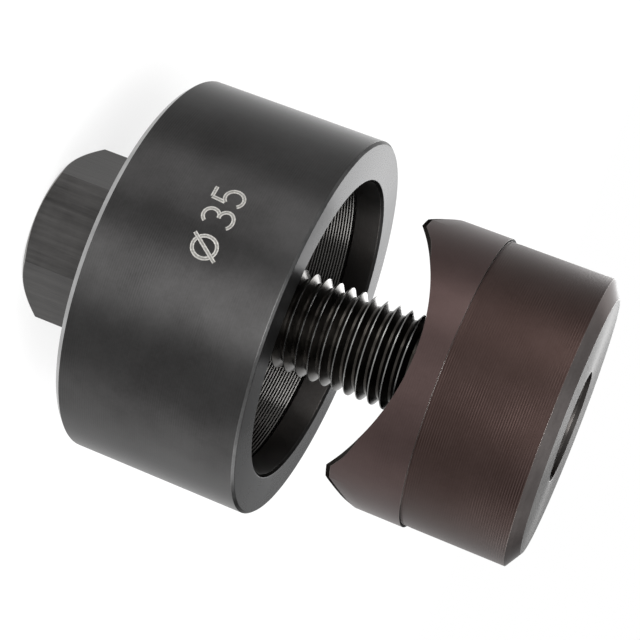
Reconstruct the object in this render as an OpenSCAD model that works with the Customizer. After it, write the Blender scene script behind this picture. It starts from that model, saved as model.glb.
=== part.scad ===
// Knockout punch for round holes in sheet metal: a draw stud, a cup-shaped die and a punch.
// The tool stands on the stud's hexagon head. Its axis is Z and the die rests on the head.
// Units are millimetres.

/* [Draw stud] */
// Outside diameter of the shank and its thread
thread_d = 12; // [10:0.5:13]
// Pitch of the right-hand thread, which also sets its depth
thread_pitch = 1.5; // [1:0.25:1.75]
// Length of the plain shank between the head and the thread
plain_l = 7; // [5.5:0.5:8]
// Length of thread that sits inside the punch, from the bottom of its hollow
thread_engaged = 13.6; // [8:0.1:15]
// Hexagon across flats
hex_af = 19; // [18:1:24]
// Height of the hexagon head
head_h = 12; // [8:0.5:16]
// Width of the bevel around the head's end, measured at a corner
head_bevel_w = 1.7; // [0.5:0.1:2.5]
// Length of the bevel around the head's end, measured at a corner along the axis
head_bevel_l = 1; // [0.3:0.1:2]

/* [Die] */
// Wall of the die at its mouth
die_wall = 4.9; // [3:0.1:9]
// Height of the die
die_h = 22.2; // [18:0.1:30]
// Thickness of the web at the back of the die
web_t = 8; // [5:0.5:9]
// Depth of the straight land below the mouth
land_depth = 3.5; // [2:0.1:6]
// Extra radius of the relief behind the land
relief_step = 0.5; // [0.2:0.1:1.5]
// Bevel around the back rim
back_bevel = 0.7; // [0.3:0.1:1.5]
// Small break of the outer front edge
front_break = 0.3; // [0.1:0.1:0.6]
// Small break of the mouth's edge
mouth_break = 0.3; // [0.1:0.1:0.6]

/* [Punch] */
// Diameter of the hole that the punch cuts
punch_d = 35; // [32:0.5:42]
// Length of the punch from its tips to its rear face
punch_l = 22.4; // [20:0.1:30]
// Length of the cutting land, from the tips to the step
cut_land = 9; // [8:0.1:12]
// Radius taken off the body behind the land
body_step = 0.3; // [0.1:0.1:0.8]
// Radius of the hollow across the cutting end
hollow_r = 20; // [19.5:0.5:24]
// Depth of the hollow below the tips
hollow_depth = 5.8; // [5:0.1:6.5]
// Width of the flat bevel outside each tip, measured across
tip_bevel_w = 2.2; // [1:0.1:2.4]
// Length of the flat bevel outside each tip, measured along the axis
tip_bevel_l = 2.7; // [1:0.1:4]
// Width of the bevel around the rear face
rear_bevel_w = 2; // [0.5:0.1:3]
// Length of the bevel around the rear face
rear_bevel_l = 1.2; // [0.5:0.1:3]
// Depth of the countersink of the threaded hole
sink_depth = 0.5; // [0.2:0.1:1.5]

/* [Fits] */
// Gap between the die's face and the tips, where the sheet goes
sheet_gap = 8.4; // [2:0.1:15]
// Gap at the radius between the punch and the die's mouth
cut_clearance = 0.6; // [0.3:0.1:1]
// Gap at the radius between the stud and the die's web
stud_play = 0.6; // [0.3:0.1:1]
// Gap at the radius between the stud and the punch's threaded hole
thread_clearance = 0.1; // [0.05:0.05:0.2]
// How far the crests of the thread lie below the shank's surface
crest_drop = 0.06; // [0.03:0.01:0.1]

/* [Hidden] */
$fn = 96;
over = 1;                                            // how far a cutting shape runs past its face
thread_r = thread_d / 2;
thread_depth = 0.6134 * thread_pitch;                // depth of a standard metric thread
hex_corner_r = hex_af / sqrt(3);
punch_r = punch_d / 2;
body_r = punch_r - body_step;
mouth_r = punch_r + cut_clearance;
relief_r = mouth_r + relief_step;
die_r = mouth_r + die_wall;
web_bore_r = thread_r + stud_play;
tapped_r = thread_r + thread_clearance;
die_z = head_h;                                      // the die's back lies on the head
floor_z = die_z + web_t;
face_z = die_z + die_h;
land_z = face_z - land_depth;
tip_z = face_z + sheet_gap;
step_z = tip_z + cut_land;
rear_z = tip_z + punch_l;
stud_end_z = tip_z + hollow_depth + thread_engaged;
thread_z = die_z + plain_l;
crest_r = thread_r - crest_drop;
root_r = crest_r - thread_depth;
crest_share = 1 / 8;                                 // width of a crest, as a share of the pitch
root_share = 1 - crest_share - 2 * thread_depth * tan(30) / thread_pitch;
thread_sides = 18;                                   // flat faces in one turn of the thread
thread_turns = ceil((stud_end_z - thread_z) / thread_pitch) + 3;
thread_rows = thread_turns * thread_sides;
thread_phase = 0.37;                                 // where the helix starts, as a share of the pitch
rod_z = thread_z - (2 - thread_phase) * thread_pitch;

// Section of one turn: share of the pitch, and radius
thread_section = [
    [root_share / 2, root_r],
    [(1 - crest_share) / 2, crest_r],
    [(1 + crest_share) / 2, crest_r],
    [1 - root_share / 2, root_r]
];

// Place in the list of points of a section's corner, counted along the helix
function corner(row, k) = 4 * row + k;

// Corner above it: the section's next one, or the first one of the next turn
function corner_above(row, k) = k < 3 ? corner(row, k + 1) : corner(row + thread_sides, 0);

// Point of the helix at a section's corner
function helix_point(row, k) = [
    thread_section[k][1] * cos(360 * row / thread_sides),
    thread_section[k][1] * sin(360 * row / thread_sides),
    rod_z + thread_pitch * (row / thread_sides + thread_section[k][0])
];

// Triangles from a point on the axis to each edge of a loop
function fan(centre, loop) = [
    for (i = [0 : len(loop) - 1]) [centre, loop[i], loop[(i + 1) % len(loop)]]
];

// A solid turned about the axis from half of its section
module turned(section) {
    rotate_extrude() polygon(section);
}

// Hexagon head with its end bevelled all round
module hex_head() {
    intersection() {
        cylinder(r = hex_corner_r, h = head_h, $fn = 6);
        turned([
            [0, 0],
            [hex_corner_r - head_bevel_w, 0],
            [hex_corner_r, head_bevel_l],
            [hex_corner_r + over, head_bevel_l],
            [hex_corner_r + over, head_h],
            [0, head_h]
        ]);
    }
}

// Rod with the thread's helix over its whole length, closed by a cone at each end
module threaded_rod() {
    below = 4 * (thread_rows + 1);
    above = below + 1;
    start = concat(
        [for (row = [0 : thread_sides]) corner(row, 0)],
        [for (k = [3 : -1 : 1]) corner(0, k)]
    );
    end = concat(
        [for (row = [thread_rows : -1 : thread_rows - thread_sides]) corner(row, 3)],
        [for (k = [0 : 2]) corner(thread_rows, k)]
    );
    polyhedron(
        points = concat(
            [for (row = [0 : thread_rows], k = [0 : 3]) helix_point(row, k)],
            [[0, 0, rod_z - thread_pitch]],
            [[0, 0, rod_z + (thread_turns + 2) * thread_pitch]]
        ),
        faces = concat(
            [
                for (k = [0 : 3], row = [0 : thread_rows - 1 - (k < 3 ? 0 : thread_sides)])
                    each [
                        [corner(row, k), corner_above(row, k), corner_above(row + 1, k)],
                        [corner(row, k), corner_above(row + 1, k), corner(row + 1, k)]
                    ]
            ],
            fan(below, start),
            fan(above, end)
        )
    );
}

// Thread cut off square at the stud's end, with a lead-in bevel
module stud_thread() {
    intersection() {
        threaded_rod();
        turned([
            [0, die_z],
            [thread_r + over, die_z],
            [thread_r + over, stud_end_z - thread_depth - over],
            [thread_r - thread_depth, stud_end_z],
            [0, stud_end_z]
        ]);
    }
}

// Head, plain shank and thread in one piece
module draw_stud() {
    color([0.16, 0.16, 0.16]) union() {
        hex_head();
        turned([
            [0, head_h / 2],
            [thread_r, head_h / 2],
            [thread_r, thread_z],
            [0, thread_z]
        ]);
        stud_thread();
    }
}

// Cup with a clear hole through its web, a cutting land at the mouth and a relief behind it
module die() {
    color([0.25, 0.25, 0.26]) turned([
        [web_bore_r, die_z],
        [die_r - back_bevel, die_z],
        [die_r, die_z + back_bevel],
        [die_r, face_z - front_break],
        [die_r - front_break, face_z],
        [mouth_r + mouth_break, face_z],
        [mouth_r, face_z - mouth_break],
        [mouth_r, land_z],
        [relief_r, land_z - relief_step],
        [relief_r, floor_z],
        [web_bore_r, floor_z]
    ]);
}

// Round blank of the punch: cutting land, smaller body and bevelled rear face
module punch_blank() {
    turned([
        [0, tip_z],
        [punch_r, tip_z],
        [punch_r, step_z],
        [body_r, step_z],
        [body_r, rear_z - rear_bevel_l],
        [body_r - rear_bevel_w, rear_z],
        [0, rear_z]
    ]);
}

// Wedge that takes the flat bevel off the tip on the right
module tip_bevel() {
    rotate([90, 0, 0])
        linear_extrude(height = punch_d, center = true)
            polygon([
                [punch_r - tip_bevel_w, tip_z],
                [punch_r, tip_z + tip_bevel_l],
                [punch_r + over, tip_z + tip_bevel_l],
                [punch_r + over, tip_z - over],
                [punch_r - tip_bevel_w, tip_z - over]
            ]);
}

// Hole for the stud's thread, with a countersink at the rear face
module tapped_hole() {
    turned([
        [0, tip_z],
        [tapped_r, tip_z],
        [tapped_r, rear_z - sink_depth],
        [tapped_r + sink_depth + over, rear_z + over],
        [0, rear_z + over]
    ]);
}

// Punch with a hollow across its cutting end, which leaves two tips at the sides
module punch() {
    color([0.27, 0.22, 0.2]) difference() {
        punch_blank();
        translate([0, 0, tip_z + hollow_depth - hollow_r])
            rotate([90, 0, 0])
                cylinder(r = hollow_r, h = punch_d + 2 * over, center = true);
        tip_bevel();
        mirror([1, 0, 0]) tip_bevel();
        tapped_hole();
    }
}

draw_stud();
die();
punch();
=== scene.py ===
import math

import bmesh
import bpy
from mathutils import Matrix, Vector


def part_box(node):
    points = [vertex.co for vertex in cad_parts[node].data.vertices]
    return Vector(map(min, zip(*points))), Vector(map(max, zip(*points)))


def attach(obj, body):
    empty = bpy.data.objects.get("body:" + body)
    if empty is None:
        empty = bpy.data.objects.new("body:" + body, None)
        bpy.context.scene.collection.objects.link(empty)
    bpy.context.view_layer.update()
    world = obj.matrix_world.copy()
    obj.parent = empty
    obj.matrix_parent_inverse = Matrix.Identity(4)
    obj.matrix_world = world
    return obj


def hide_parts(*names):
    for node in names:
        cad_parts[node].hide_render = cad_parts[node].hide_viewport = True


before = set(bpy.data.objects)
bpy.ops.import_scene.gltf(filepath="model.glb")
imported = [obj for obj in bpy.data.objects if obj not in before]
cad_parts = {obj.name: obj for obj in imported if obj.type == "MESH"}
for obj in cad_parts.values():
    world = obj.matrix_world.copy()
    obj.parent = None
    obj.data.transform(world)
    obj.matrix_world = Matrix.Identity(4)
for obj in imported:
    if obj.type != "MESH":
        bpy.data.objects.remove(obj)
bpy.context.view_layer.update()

MM = 0.001
TURN = 2 * math.pi

# Sizes read from the solids
_, stud_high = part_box("draw_stud")
die_low, die_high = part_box("die")
punch_low, punch_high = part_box("punch")
mark_room = 0.02 * MM                # keeps the size mark inside the CAD box
hex_corner_r = stud_high.x
stud_end_z = stud_high.z
die_r = min(die_high.x, die_high.y, -die_low.x, -die_low.y) - mark_room
die_z = die_low.z
face_z = die_high.z
punch_r = punch_high.x
tip_z = punch_low.z
rear_z = punch_high.z

# Sizes of the stud that its box doesn't give
shank_r = 6 * MM
shank_top_z = die_z + 7 * MM
pitch = 1.5 * MM
crest_r = 5.94 * MM
root_r = 5.02 * MM
crest_flat = 0.09                    # width of the crest as a share of the pitch
thread_phase = 0.37                  # where the helix starts at the shank's end, as a share of the pitch
thread_overlap = 0.2 * MM            # how far the thread starts inside the shank
head_bevel_w = 1.7 * MM
head_bevel_l = 1.0 * MM
head_rounding = 0.2 * MM

# Sizes of the die that its box doesn't give
web_bore_r = 6.6 * MM
mouth_r = 18.1 * MM
relief_r = 18.6 * MM
floor_z = die_z + 8 * MM
land_z = face_z - 3.5 * MM
back_bevel = 0.7 * MM
edge_break = 0.3 * MM
ridge_pitch = 0.36 * MM              # ridges left by the tool in the relief
ridge_depth = 0.058 * MM
die_rounding = 0.06 * MM

# Sizes of the punch that its box doesn't give
body_r = punch_r - 0.3 * MM
tapped_r = 6.1 * MM
step_z = tip_z + 9 * MM
hollow_r = 20 * MM
hollow_z = tip_z + 5.8 * MM
tip_bevel_w = 2.2 * MM
tip_bevel_l = 2.7 * MM
rear_bevel_w = 2 * MM
rear_bevel_l = 1.2 * MM
sink = 0.5 * MM
groove_width = 0.8 * MM              # shallow band behind the cutting land's step
groove_depth = 0.02 * MM
groove_ramp = 0.15 * MM
facet_height = 0.6 * MM              # ground facet on the hollow's edge, at each tip
facet_width = 0.3 * MM
facet_start_x = 9.9 * MM
facet_full_x = 12.6 * MM
facet_least = 0.2                    # share of its full size below which the facet is left out
thread_gap = 0.06 * MM               # between the punch's thread and the stud's
thread_start = 0.1 * MM              # how far above the hollow the punch's thread starts
punch_rounding = 0.07 * MM
bevel_x = punch_r - tip_bevel_w      # where a tip's bevel starts
land_x = math.sqrt(hollow_r ** 2 - (hollow_r - (hollow_z - tip_z)) ** 2)   # where the hollow ends at a tip

# Fineness of the meshes
die_sides = 288
head_sides = 192
thread_sides = 96
punch_turn = math.radians(1.5)       # angle between two sections of the punch
least_turns = 4                      # sections between two corners of a tip, at least
hollow_rows, flat_rows, bevel_rows = 14, 2, 3
land_rows = 4
thread_shares = [0, 0.09, 0.25, 0.5 - crest_flat / 2, 0.5 + crest_flat / 2, 0.75, 0.91]
crest_stretch = 3                    # stretch between those points of a thread that is its crest
rounding_steps = 3
weld_gap = 0.0005 * MM
sharp_angle = math.radians(30)       # edges that are shaded sharp
rounded_angle = math.radians(25)     # edges that are rounded

# Grain of the materials, in repeats to a metre
speck_grain = 2600.0
patch_grain = 85.0
streak_grain = 1600.0
bar_stain_grain = 160.0
etched_grain = 5200.0

# Tool marks
feed_pitch = 0.27 * MM
height_share = 1.3                   # how much more height counts than radius along a turned section
wander = 0.15 * MM                   # how far a groove strays
patch_contrast = 2.0                 # how sharply the patches with feed lines end
stain_share, mark_share, speck_share = 0.5, 0.35, 0.15
bar_stain_share, bar_streak_share = 0.45, 0.55
streak_squeeze = 0.05                # repeats of a streak along the bar, as a share of those across it

# Size mark on the die
mark_height = 3.4 * MM
mark_stroke = 0.42 * MM
mark_lift = 0.012 * MM
mark_layer = 0.001 * MM              # how far each stroke lies above the one before it
mark_z = die_z + 14.2 * MM
mark_azimuth = math.radians(-92)
mark_bands = (-0.5, -0.2, 0.2, 0.5)  # edges of a stroke's borders and its middle, in stroke widths

# Camera, from the photograph's perspective
view_target = Vector((-1.04, 0, 33.67)) * MM
view_azimuth = math.radians(-85.9)
view_elevation = math.radians(12.82)
view_distance = 196.8 * MM
view_roll = math.radians(111.13)
view_lens = 95.3
view_sensor = 36

# Studio
floor_white = 0.72                   # share of white that the floor near the tool has even in the shadow
floor_reach = 3.0
floor_drop = 0.02 * MM               # keeps the floor just below the head's face
world_fill = 0.35                    # light of the surroundings on the tool and the floor
lamp_distance = 0.6


# Materials

def new_material(name):
    """New principled material, with its tree and its shader."""
    material = bpy.data.materials.new(name)
    material.use_nodes = True
    tree = material.node_tree
    return material, tree, tree.nodes["Principled BSDF"]


def add(tree, kind, inputs=None, **settings):
    """New node with its settings and its inputs, which are values or other nodes' outputs."""
    made = tree.nodes.new(kind)
    for key, value in settings.items():
        setattr(made, key, value)
    for key, value in (inputs or {}).items():
        if isinstance(value, bpy.types.NodeSocket):
            tree.links.new(value, made.inputs[key])
        else:
            made.inputs[key].default_value = value
    return made


def maths(tree, operation, first, second=0.0):
    """Output of one sum."""
    return add(tree, "ShaderNodeMath", {0: first, 1: second}, operation=operation).outputs[0]


def place(tree):
    """Point on the piece, in metres in the part's own frame."""
    return add(tree, "ShaderNodeTexCoord").outputs["Object"]


def ring_place(tree, point):
    """Distance along a turned section: the radius plus a share of the height."""
    split = add(tree, "ShaderNodeSeparateXYZ", {0: point})
    flat = add(tree, "ShaderNodeCombineXYZ", {0: split.outputs[0], 1: split.outputs[1]})
    radius = add(tree, "ShaderNodeVectorMath", {0: flat.outputs[0]}, operation="LENGTH")
    height = maths(tree, "MULTIPLY", split.outputs[2], height_share)
    return maths(tree, "ADD", radius.outputs["Value"], height)


def across_place(tree, point):
    """Distance along Y, across the marks of a cutter that turned about a Y axis."""
    return add(tree, "ShaderNodeSeparateXYZ", {0: point}).outputs[1]


def tool_marks(tree, point, along, mark_pitch, line_depth):
    """Uneven grooves left by the tool, from 0 to 1, and the even lines of its feed in some patches."""
    stray = add(tree, "ShaderNodeTexNoise", {"Vector": point, "Scale": 90.0, "Detail": 1.0})
    shift = maths(tree, "MULTIPLY", stray.outputs["Fac"], wander)
    shifted = maths(tree, "ADD", along, shift)
    grooves = add(
        tree, "ShaderNodeTexNoise",
        {"W": shifted, "Scale": 1 / mark_pitch, "Detail": 3.0, "Roughness": 0.6},
        noise_dimensions="1D",
    ).outputs["Fac"]
    wave = maths(tree, "SINE", maths(tree, "MULTIPLY", shifted, TURN / (feed_pitch * height_share)))
    patches = maths(tree, "POWER", blotches(tree, point, patch_grain), patch_contrast)
    lines = maths(tree, "MULTIPLY", maths(tree, "MULTIPLY", wave, patches), line_depth)
    return maths(tree, "ADD", grooves, lines)


def blotches(tree, point, scale):
    """Soft stains, from 0 to 1."""
    noise = add(
        tree, "ShaderNodeTexNoise",
        {"Vector": point, "Scale": scale, "Detail": 5.0, "Roughness": 0.62},
    )
    return add(
        tree, "ShaderNodeMapRange",
        {"Value": noise.outputs["Fac"], "From Min": 0.3, "From Max": 0.7},
    ).outputs["Result"]


def spread(tree, value, ends):
    """A value from 0 to 1, moved to the range between two ends."""
    made = add(tree, "ShaderNodeMapRange", {"Value": value, "To Min": ends[0], "To Max": ends[1]})
    return made.outputs["Result"]


def blend_colours(tree, amount, low, high):
    """Colour between two, by an amount from 0 to 1."""
    mix = add(tree, "ShaderNodeMix", {0: amount}, data_type="RGBA")
    mix.inputs["A"].default_value = (*low, 1)
    mix.inputs["B"].default_value = (*high, 1)
    return mix.outputs["Result"]


def steel(
    name, low, high, roughness, mark_pitch, mark_depth,
    stain_grain=120.0, stretch=0.6, edge_tint=1.0, along=ring_place, lines=0.22,
):
    """Machined steel: stained between two colours, with tool marks that stretch its highlights."""
    material, tree, shader = new_material(name)
    point = place(tree)
    marks = tool_marks(tree, point, along(tree, point), mark_pitch, lines)
    stains = maths(tree, "MULTIPLY", blotches(tree, point, stain_grain), stain_share)
    specks = maths(tree, "MULTIPLY", blotches(tree, point, speck_grain), speck_share)
    amount = maths(tree, "ADD", stains, maths(tree, "MULTIPLY", marks, mark_share))
    amount = maths(tree, "ADD", amount, specks)
    tree.links.new(blend_colours(tree, amount, low, high), shader.inputs["Base Color"])
    tree.links.new(spread(tree, amount, roughness), shader.inputs["Roughness"])
    bump = add(tree, "ShaderNodeBump", {"Height": marks, "Strength": 0.6, "Distance": mark_depth})
    tree.links.new(bump.outputs[0], shader.inputs["Normal"])
    around = add(tree, "ShaderNodeTangent", direction_type="RADIAL", axis="Z")
    tree.links.new(around.outputs[0], shader.inputs["Tangent"])
    shader.inputs["Metallic"].default_value = 1.0
    shader.inputs["Specular Tint"].default_value = (edge_tint, edge_tint, edge_tint, 1)
    shader.inputs["Anisotropic"].default_value = stretch
    shader.inputs["Anisotropic Rotation"].default_value = 0.25
    return material


def drawn_steel(name, low, high, roughness):
    """Steel of a drawn hexagon bar: dark, with streaks along the bar."""
    material, tree, shader = new_material(name)
    point = place(tree)
    squeezed = add(tree, "ShaderNodeMapping", {"Vector": point, "Scale": (1.0, 1.0, streak_squeeze)})
    streaks = blotches(tree, squeezed.outputs[0], streak_grain)
    stains = maths(tree, "MULTIPLY", blotches(tree, point, bar_stain_grain), bar_stain_share)
    amount = maths(tree, "ADD", stains, maths(tree, "MULTIPLY", streaks, bar_streak_share))
    tree.links.new(blend_colours(tree, amount, low, high), shader.inputs["Base Color"])
    tree.links.new(spread(tree, amount, roughness), shader.inputs["Roughness"])
    bump = add(tree, "ShaderNodeBump", {"Height": streaks, "Strength": 0.35, "Distance": 0.03 * MM})
    tree.links.new(bump.outputs[0], shader.inputs["Normal"])
    shader.inputs["Metallic"].default_value = 1.0
    return material


def etched_steel(name, low, high, roughness):
    """Pale matt surface of a laser-etched mark."""
    material, tree, shader = new_material(name)
    grain = blotches(tree, place(tree), etched_grain)
    tree.links.new(blend_colours(tree, grain, low, high), shader.inputs["Base Color"])
    tree.links.new(spread(tree, grain, roughness), shader.inputs["Roughness"])
    bump = add(tree, "ShaderNodeBump", {"Height": grain, "Strength": 0.4, "Distance": 0.02 * MM})
    tree.links.new(bump.outputs[0], shader.inputs["Normal"])
    shader.inputs["Metallic"].default_value = 0.3
    return material


# Meshes

def angles_of(count):
    """Evenly spaced angles round the axis."""
    return [TURN * i / count for i in range(count)]


def steps_between(start, end, count):
    """Evenly spaced values from start, without the end."""
    return [start + (end - start) * i / count for i in range(count)]


def loft(name, section_at, angles, materials, slots, closed=True):
    """Skin through one section per angle. slots gives the material of each stretch of the section."""
    columns = [section_at(a) for a in angles]
    count = len(columns[0])
    points = []
    for a, column in zip(angles, columns):
        points += [(r * math.cos(a), r * math.sin(a), z) for r, z in column]
    faces, face_slots = [], []
    for i in range(len(angles)):
        here, there = i * count, (i + 1) % len(angles) * count
        for k in range(count if closed else count - 1):
            after = (k + 1) % count
            faces.append((here + k, there + k, there + after, here + after))
            face_slots.append(slots[k])
    return mesh_piece(name, points, faces, materials, face_slots)


def mesh_piece(name, points, faces, materials, face_slots):
    """Object from points and faces, cleaned and shaded smooth between its sharp edges."""
    mesh = bpy.data.meshes.new(name)
    mesh.from_pydata(points, [], faces)
    for material in materials:
        mesh.materials.append(material)
    mesh.polygons.foreach_set("material_index", face_slots)
    tidy_mesh(mesh)
    piece = bpy.data.objects.new(name, mesh)
    bpy.context.scene.collection.objects.link(piece)
    return piece


def tidy_mesh(mesh):
    """Joins doubled points, drops faces without area and turns all faces outward."""
    bm = bmesh.new()
    bm.from_mesh(mesh)
    bmesh.ops.remove_doubles(bm, verts=bm.verts, dist=weld_gap)
    bmesh.ops.dissolve_degenerate(bm, edges=bm.edges, dist=weld_gap)
    bmesh.ops.recalc_face_normals(bm, faces=bm.faces)
    bm.to_mesh(mesh)
    bm.free()
    mesh.shade_smooth()
    mesh.set_sharp_from_angle(angle=sharp_angle)


def soften(piece, width, wear_and_highlight=-1):
    """Rounds the sharp edges, so that they catch the light. The last argument is the rounding's own material,
    if any: a paler steel that stands for rubbed edges and also paints a highlight along them.
    """
    bevel = piece.modifiers.new("edges", "BEVEL")
    bevel.width = width
    bevel.segments = rounding_steps
    bevel.limit_method = "ANGLE"
    bevel.angle_limit = rounded_angle
    bevel.harden_normals = True
    bevel.material = wear_and_highlight


# The die

def die_section(_):
    """Half section of the cup, from its back round to its web's hole, with ridges in the relief."""
    outside = [
        (web_bore_r, die_z),
        (die_r - back_bevel, die_z),
        (die_r, die_z + back_bevel),
        (die_r, face_z - edge_break),
        (die_r - edge_break, face_z),
        (mouth_r + edge_break, face_z),
        (mouth_r, face_z - edge_break),
        (mouth_r, land_z),
    ]
    top = land_z - (relief_r - mouth_r)
    ridges = int((top - floor_z) / ridge_pitch)
    inside = [
        (relief_r - ridge_depth * (i % 2), top - (top - floor_z) * i / (2 * ridges))
        for i in range(2 * ridges + 1)
    ]
    return outside + inside + [(web_bore_r, floor_z)]


def die_materials():
    """Finishes of the die, in the order of their slots."""
    return [
        steel(
            "die_black", low=(0.0179, 0.0174, 0.0172), high=(0.0464, 0.0456, 0.0456), roughness=(0.41, 0.48),
            mark_pitch=0.11 * MM, mark_depth=0.004 * MM, stretch=0.88, lines=0.5,
        ),
        steel(
            "die_rim", low=(0.15, 0.15, 0.15), high=(0.42, 0.42, 0.42), roughness=(0.25, 0.38),
            mark_pitch=0.1 * MM, mark_depth=0.004 * MM, stain_grain=300.0,
        ),
        steel(
            "die_lip", low=(0.03, 0.03, 0.03), high=(0.0975, 0.0975, 0.0975), roughness=(0.25, 0.38),
            mark_pitch=0.1 * MM, mark_depth=0.004 * MM, stain_grain=300.0, edge_tint=0.35,
        ),
        steel(
            "die_face", low=(0.036, 0.036, 0.0368), high=(0.066, 0.066, 0.0675), roughness=(0.24, 0.32),
            mark_pitch=0.12 * MM, mark_depth=0.003 * MM, edge_tint=0.5,
        ),
        steel(
            "die_land", low=(0.033, 0.03, 0.0285), high=(0.075, 0.0705, 0.0675), roughness=(0.25, 0.35),
            mark_pitch=0.15 * MM, mark_depth=0.004 * MM,
        ),
        steel(
            "die_bore", low=(0.055, 0.0533, 0.0515), high=(0.145, 0.141, 0.136), roughness=(0.2, 0.26),
            mark_pitch=0.2 * MM, mark_depth=0.001 * MM,
        ),
        steel(
            "die_mouth", low=(0.018, 0.0177, 0.0175), high=(0.045, 0.0442, 0.0435), roughness=(0.5, 0.6),
            mark_pitch=0.12 * MM, mark_depth=0.003 * MM, edge_tint=0.12,
        ),
    ]


def make_die():
    """Blackened cup with a ground face and a bright back rim."""
    black, rim, lip, face, land, bore, mouth = range(7)
    outside = [black, rim, black, lip, face, mouth, land]
    inside = [bore] * (len(die_section(0)) - len(outside))
    piece = loft("die_body", die_section, angles_of(die_sides), die_materials(), outside + inside)
    soften(piece, die_rounding)
    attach(piece, "die")
    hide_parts("die")


# The size mark

def arc(centre, radii, start, end, count=24):
    """Points of an elliptic arc, its angles in degrees."""
    steps = [math.radians(start + (end - start) * i / count) for i in range(count + 1)]
    return [(centre[0] + radii[0] * math.cos(a), centre[1] + radii[1] * math.sin(a)) for a in steps]


def straight(start, end, count=12):
    """Points along a straight stroke."""
    return [tuple(p + (q - p) * i / count for p, q in zip(start, end)) for i in range(count + 1)]


def mark_strokes():
    """Strokes of the diameter sign and the two digits, in units of the letter height."""
    sign = [arc((0.4, 0.5), (0.36, 0.4), 0, 360, 48), straight((0.05, 0.02), (0.75, 0.98))]
    three = [arc((1.42, 0.74), (0.25, 0.26), 150, -90), arc((1.42, 0.25), (0.28, 0.25), 90, -150)]
    five = [
        straight((2.42, 1.0), (2.04, 1.0)),
        straight((2.04, 1.0), (2.0, 0.55)),
        arc((2.2, 0.31), (0.28, 0.31), 135, -145, 32),
    ]
    return sign + three + five


def on_die(across, up, lift):
    """Point of the mark on the die's wall: it reads upward in the photograph's view."""
    azimuth = mark_azimuth - across / die_r
    radius = die_r + lift
    return (radius * math.cos(azimuth), radius * math.sin(azimuth), mark_z - up)


def ribbon(stroke, lift, points, faces, face_slots):
    """Adds one stroke as a flat band of even width, with two pale borders and a duller middle."""
    first = len(points)
    count = len(mark_bands)
    for i, (x, y) in enumerate(stroke):
        before, after = stroke[max(i - 1, 0)], stroke[min(i + 1, len(stroke) - 1)]
        dx, dy = after[0] - before[0], after[1] - before[1]
        size = math.hypot(dx, dy)
        for side in mark_bands:
            shift = side * mark_stroke / size
            points.append(on_die(x * mark_height - dy * shift, y * mark_height + dx * shift, lift))
    border, middle = 0, 1
    for i in range(first, len(points) - count, count):
        faces += [(k, k + 1, k + count + 1, k + count) for k in range(i, i + count - 1)]
        face_slots += [border, middle, border]


def make_mark():
    """Plain etched diameter on the die's wall."""
    matt = (0.55, 0.8)
    materials = [
        etched_steel("etched_border", (0.12, 0.117, 0.109), (0.285, 0.277, 0.261), matt),
        etched_steel("etched_middle", (0.045, 0.0438, 0.0405), (0.165, 0.161, 0.15), matt),
    ]
    points, faces, face_slots = [], [], []
    for order, stroke in enumerate(mark_strokes()):
        ribbon(stroke, mark_lift + order * mark_layer, points, faces, face_slots)
    piece = mesh_piece("size_mark", points, faces, materials, face_slots)
    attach(piece, "die")


# The punch

def under_z(x):
    """Height of the cutting end over a point that lies x from the middle plane."""
    hollow = hollow_z - hollow_r + math.sqrt(max(hollow_r ** 2 - x ** 2, 0))
    bevel = tip_z + (abs(x) - bevel_x) * tip_bevel_l / tip_bevel_w
    return max(hollow, tip_z, bevel)


def punch_angles():
    """Angles round the punch, with one on each corner of its tips."""
    corners = [0, math.acos(bevel_x / punch_r), math.acos(land_x / punch_r), math.pi / 2]
    quarter = []
    for start, end in zip(corners, corners[1:]):
        quarter += steps_between(start, end, max(least_turns, round((end - start) / punch_turn)))
    half = quarter + [math.pi / 2] + [math.pi - a for a in reversed(quarter[1:])]
    return half + [a + math.pi for a in half]


def under_radii(angle, lip_r):
    """Radii of the points across the cutting end: the hollow, a tip's flat and its bevel, out to the lip."""
    slope = max(abs(math.cos(angle)), 0.001)         # never 0, so that the middle plane has its radii too
    corners = [tapped_r, min(lip_r, land_x / slope), min(lip_r, bevel_x / slope), lip_r]
    radii = []
    for start, end, count in zip(corners, corners[1:], (hollow_rows, flat_rows, bevel_rows)):
        radii += steps_between(start, end, count)
    return radii + [lip_r]


def facet_share(angle):
    """Size of the ground facet at an angle, from 0 in the middle of the hollow to 1 at the tips."""
    reach = (abs(punch_r * math.cos(angle)) - facet_start_x) / (facet_full_x - facet_start_x)
    return min(reach, 1) if reach > facet_least else 0


def punch_section(angle):
    """Half section of the punch at an angle: along its cutting end, up its wall and over its rear face."""
    facet = facet_share(angle)
    lip_r = punch_r - facet * facet_width
    under = [(r, under_z(r * math.cos(angle))) for r in under_radii(angle, lip_r)]
    edge = under_z(punch_r * math.cos(angle)) + facet * facet_height
    wall = [(punch_r, z) for z in steps_between(edge, step_z, land_rows)] + [(punch_r, step_z)]
    rear = [
        (body_r - groove_depth, step_z),
        (body_r - groove_depth, step_z + groove_width),
        (body_r, step_z + groove_width + groove_ramp),
        (body_r, rear_z - rear_bevel_l),
        (body_r - rear_bevel_w, rear_z),
        (tapped_r + sink, rear_z),
        (tapped_r, rear_z - sink),
    ]
    return under + wall + rear


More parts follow.
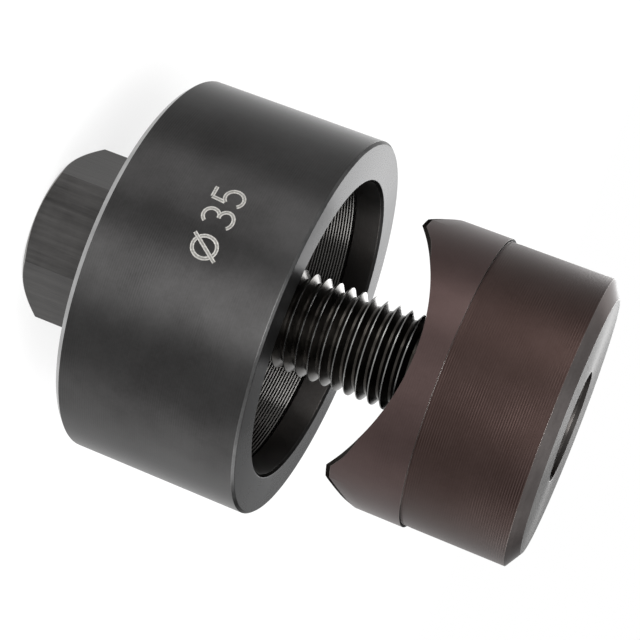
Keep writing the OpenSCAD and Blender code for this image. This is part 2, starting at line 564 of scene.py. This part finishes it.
def punch_materials():
    """Finishes of the punch, in the order of their slots; the last, on the rounded edges, is partly rubbed
    wear and partly a painted highlight.
    """
    return [
        steel(
            "punch_wall", low=(0.0186, 0.0111, 0.00946), high=(0.041, 0.0276, 0.0253), roughness=(0.42, 0.48),
            mark_pitch=0.14 * MM, mark_depth=0.009 * MM, stain_grain=70.0, stretch=0.2, lines=1.8,
        ),
        steel(
            "punch_land", low=(0.0279, 0.0181, 0.0167), high=(0.0545, 0.038, 0.0364), roughness=(0.37, 0.43),
            mark_pitch=0.1 * MM, mark_depth=0.004 * MM, stain_grain=70.0, stretch=0.25, lines=0.5,
        ),
        steel(
            "punch_hollow", low=(0.018, 0.0165, 0.015), high=(0.045, 0.0405, 0.0375), roughness=(0.35, 0.5),
            mark_pitch=0.25 * MM, mark_depth=0.01 * MM, edge_tint=0.15, along=across_place,
        ),
        steel(
            "punch_bevel", low=(0.063, 0.0555, 0.054), high=(0.12, 0.109, 0.106), roughness=(0.32, 0.44),
            mark_pitch=0.12 * MM, mark_depth=0.004 * MM, edge_tint=0.38,
        ),
        steel(
            "punch_face", low=(0.0675, 0.0668, 0.066), high=(0.158, 0.156, 0.154), roughness=(0.4, 0.52),
            mark_pitch=0.14 * MM, mark_depth=0.009 * MM, edge_tint=0.4, lines=0.9,
        ),
        steel(
            "punch_bore", low=(0.0135, 0.0126, 0.0119), high=(0.042, 0.039, 0.037), roughness=(0.36, 0.5),
            mark_pitch=0.2 * MM, mark_depth=0.006 * MM, edge_tint=0.3,
        ),
        # Rounded edges: paler steel for rubbed wear, which also paints a highlight along every rounded edge
        steel(
            "punch_edge_wear_and_highlight", low=(0.0375, 0.0315, 0.0285), high=(0.225, 0.21, 0.201), roughness=(0.3, 0.42),
            mark_pitch=0.12 * MM, mark_depth=0.003 * MM, stain_grain=260.0,
        ),
    ]


def make_punch():
    """Brown-black punch with a dark hollow and a bright rear face. Returns the finish of its hole."""
    materials = punch_materials()
    wall, land, hollow, bevel, face, bore, edge = range(7)
    under = [hollow] * hollow_rows + [land] * (flat_rows + bevel_rows)
    side = [hollow] + [land] * land_rows + [hollow]
    rear = [wall, wall, wall, bevel, face, bore, bore]
    piece = loft("punch_body", punch_section, punch_angles(), materials, under + side + rear)
    # The rounded edges get the paler edge steel: rubbed wear and a painted highlight
    soften(piece, punch_rounding, edge)
    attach(piece, "punch")
    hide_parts("punch")
    return materials[bore]


# The stud and both threads

def thread_r(share):
    """Radius of the stud's thread at a share of its pitch, the crest in the middle."""
    away = abs(share - 0.5) - crest_flat / 2
    return max(root_r, crest_r - max(away, 0) * pitch * math.sqrt(3))


def helix(name, radius_at, low_z, high_z, materials):
    """Right-hand thread between two heights, open at both ends. radius_at takes a share and a height."""
    turns_below = math.ceil((shank_top_z - low_z) / pitch) + 2
    first_z = shank_top_z + pitch * (thread_phase - turns_below)
    total = int(((high_z - first_z) / pitch + 2) * thread_sides)
    points = []
    for i in range(total):
        angle = TURN * i / thread_sides
        for share in thread_shares:
            z = first_z + pitch * (i / thread_sides + share)
            r = radius_at(share, z)
            points.append((r * math.cos(angle), r * math.sin(angle), z))
    count = len(thread_shares)
    faces, face_slots = [], []
    for i in range(total - thread_sides - 1):
        for k in range(count):
            here = i * count + k
            over = here + 1 if k < count - 1 else (i + thread_sides) * count
            faces.append((here, here + count, over + count, over))
            face_slots.append(1 if k == crest_stretch else 0)
    piece = mesh_piece(name, points, faces, materials, face_slots)
    trim(piece.data, low_z, high_z)
    return piece


def trim(mesh, low_z, high_z):
    """Cuts a mesh off square at two heights."""
    bm = bmesh.new()
    bm.from_mesh(mesh)
    for height, normal in ((low_z, (0, 0, -1)), (high_z, (0, 0, 1))):
        everything = bm.verts[:] + bm.edges[:] + bm.faces[:]
        bmesh.ops.bisect_plane(
            bm, geom=everything, plane_co=(0, 0, height), plane_no=normal, clear_outer=True,
        )
    bm.to_mesh(mesh)
    bm.free()


def hex_r(angle):
    """Radius of the hexagon at an angle, with corners on the X axis."""
    flat = hex_corner_r * math.cos(math.pi / 6)
    return flat / math.cos(angle % (math.pi / 3) - math.pi / 6)


def head_section(angle):
    """Half section of the head and the plain shank above it, with one more point on its end and its side."""
    flat_r = hex_corner_r - head_bevel_w
    corner = hex_r(angle)
    return [
        (0, 0),
        (flat_r * 0.5, 0),
        (flat_r, 0),
        (corner, (corner - flat_r) * head_bevel_l / head_bevel_w),
        (corner, die_z * 0.6),
        (corner, die_z),
        (shank_r, die_z),
        (shank_r, shank_top_z),
        (root_r, shank_top_z),
    ]


def end_section(_):
    """Half section of the stud's flat end inside the punch."""
    return [(0, stud_end_z), (root_r * 0.6, stud_end_z), (root_r, stud_end_z)]


def stud_r(share, z):
    """Radius of the stud's thread, with a lead-in bevel at its end."""
    lead_z = stud_end_z - (crest_r - root_r)
    return min(thread_r(share), max(root_r, crest_r - max(z - lead_z, 0)))


def tapped_thread_r(share, z):
    """Radius of the punch's thread, which lies a hair outside the stud's and opens at both ends."""
    depth = tapped_r - root_r
    lead = max(hollow_z + thread_start + depth - z, z - (rear_z - sink) + depth, 0)
    return min(tapped_r, max(thread_r(share) + thread_gap, root_r + thread_gap + lead))


def make_stud():
    """Hexagon head, shank and thread of the draw stud."""
    head_black = drawn_steel(
        "head_black", low=(0.0315, 0.0304, 0.03), high=(0.078, 0.0758, 0.0743), roughness=(0.34, 0.52),
    )
    head_bevel = steel(
        "head_bevel", low=(0.15, 0.146, 0.138), high=(0.3, 0.292, 0.285), roughness=(0.3, 0.45),
        mark_pitch=0.12 * MM, mark_depth=0.006 * MM,
    )
    thread_black = steel(
        "thread_black", low=(0.009, 0.00795, 0.00705), high=(0.063, 0.057, 0.0503), roughness=(0.22, 0.38),
        mark_pitch=0.1 * MM, mark_depth=0.006 * MM, stain_grain=420.0,
    )
    thread_crest = steel(
        "thread_crest", low=(0.06, 0.06, 0.06), high=(0.3, 0.3, 0.292), roughness=(0.2, 0.32),
        mark_pitch=0.1 * MM, mark_depth=0.004 * MM, stain_grain=400.0,
    )
    slots = [1] * 3 + [0] * 5
    head = loft(
        "stud_head", head_section, angles_of(head_sides), [head_black, head_bevel], slots, closed=False,
    )
    soften(head, head_rounding)
    end = loft("stud_end", end_section, angles_of(thread_sides), [head_black], [0, 0], closed=False)
    thread = helix(
        "stud_thread", stud_r, shank_top_z - thread_overlap, stud_end_z, [thread_black, thread_crest],
    )
    for piece in (head, end, thread):
        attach(piece, "stud")
    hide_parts("draw_stud")


def make_tapped_thread(material):
    """Thread inside the punch's hole."""
    piece = helix(
        "punch_thread", tapped_thread_r, hollow_z + thread_start, rear_z - sink, [material, material],
    )
    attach(piece, "punch")


# Floor, light and camera

def seen_ray(tree):
    """1 for the rays by which the camera, metal or glass sees a surface, and 0 for light on other things."""
    path = add(tree, "ShaderNodeLightPath")
    seen = maths(tree, "MAXIMUM", path.outputs["Is Camera Ray"], path.outputs["Is Glossy Ray"])
    return maths(tree, "MAXIMUM", seen, path.outputs["Is Transmission Ray"])


def make_floor():
    """Plain white floor, which keeps a soft part of the tool's shadow."""
    material, tree, shader = new_material("floor")
    shader.inputs["Base Color"].default_value = (0.86, 0.86, 0.86, 1)
    shader.inputs["Roughness"].default_value = 0.9
    shader.inputs["Specular IOR Level"].default_value = 0.1
    white = add(tree, "ShaderNodeEmission", {"Color": (1, 1, 1, 1), "Strength": 1.0})
    reach = add(tree, "ShaderNodeVectorMath", {0: place(tree)}, operation="LENGTH").outputs["Value"]
    far = add(
        tree, "ShaderNodeMapRange",
        {"Value": reach, "From Min": 0.1, "From Max": 0.6, "To Min": floor_white, "To Max": 1.0},
    )
    share = maths(tree, "MULTIPLY", seen_ray(tree), far.outputs["Result"])
    mix = add(tree, "ShaderNodeMixShader", {0: share, 1: shader.outputs[0], 2: white.outputs[0]})
    tree.links.new(mix.outputs[0], tree.nodes["Material Output"].inputs["Surface"])
    corners = [(x * floor_reach, y * floor_reach, 0) for x, y in ((-1, -1), (1, -1), (1, 1), (-1, 1))]
    floor = mesh_piece("floor", corners, [(0, 1, 2, 3)], [material], [0])
    floor.location.z = -floor_drop


def make_world():
    """White surroundings, which also fill the shadows softly."""
    world = bpy.data.worlds.new("studio")
    bpy.context.scene.world = world
    world.use_nodes = True
    tree = world.node_tree
    background = tree.nodes["Background"]
    strength = maths(tree, "ADD", maths(tree, "MULTIPLY", seen_ray(tree), 1 - world_fill), world_fill)
    tree.links.new(strength, background.inputs["Strength"])
    background.inputs["Color"].default_value = (1, 1, 1, 1)


def direction(azimuth, elevation):
    """Unit vector at an azimuth and an elevation."""
    level = math.cos(elevation)
    return Vector((math.cos(azimuth) * level, math.sin(azimuth) * level, math.sin(elevation)))


def make_lamp(name, azimuth, elevation, width, height, radiance):
    """Soft box that faces the tool. Its azimuth is counted from the camera's, in degrees."""
    light = bpy.data.lights.new(name, "AREA")
    light.shape = "RECTANGLE"
    light.size = width
    light.size_y = height
    light.energy = radiance * math.pi * width * height
    lamp = bpy.data.objects.new(name, light)
    out = direction(view_azimuth + math.radians(azimuth), math.radians(elevation))
    lamp.location = view_target + out * lamp_distance
    lamp.rotation_mode = "QUATERNION"
    lamp.rotation_quaternion = (-out).to_track_quat("-Z", "Y")
    bpy.context.scene.collection.objects.link(lamp)


def make_lamps():
    """Soft boxes round the tool."""
    make_lamp("front_box", azimuth=8, elevation=33, width=0.36, height=0.3, radiance=23)
    make_lamp("left_box", azimuth=-50, elevation=8, width=0.38, height=0.22, radiance=8)
    make_lamp("right_box", azimuth=98, elevation=20, width=0.5, height=0.4, radiance=4.8)
    make_lamp("left_back_box", azimuth=-160, elevation=18, width=0.46, height=0.4, radiance=4.2)


def make_camera():
    """Camera at the photograph's viewing angle, rolled so that the tool lies across the picture."""
    lens = bpy.data.cameras.new("camera")
    lens.lens = view_lens
    lens.sensor_width = view_sensor
    lens.clip_start = 0.01
    camera = bpy.data.objects.new("camera", lens)
    out = direction(view_azimuth, view_elevation)
    turn = (-out).to_track_quat("-Z", "Y").to_matrix() @ Matrix.Rotation(view_roll, 3, "Z")
    camera.matrix_world = Matrix.Translation(view_target + out * view_distance) @ turn.to_4x4()
    bpy.context.scene.collection.objects.link(camera)
    bpy.context.scene.camera = camera


make_die()
make_mark()
make_tapped_thread(make_punch())
make_stud()
make_floor()
make_world()
make_lamps()
make_camera()
bpy.context.scene.view_settings.view_transform = "Standard"
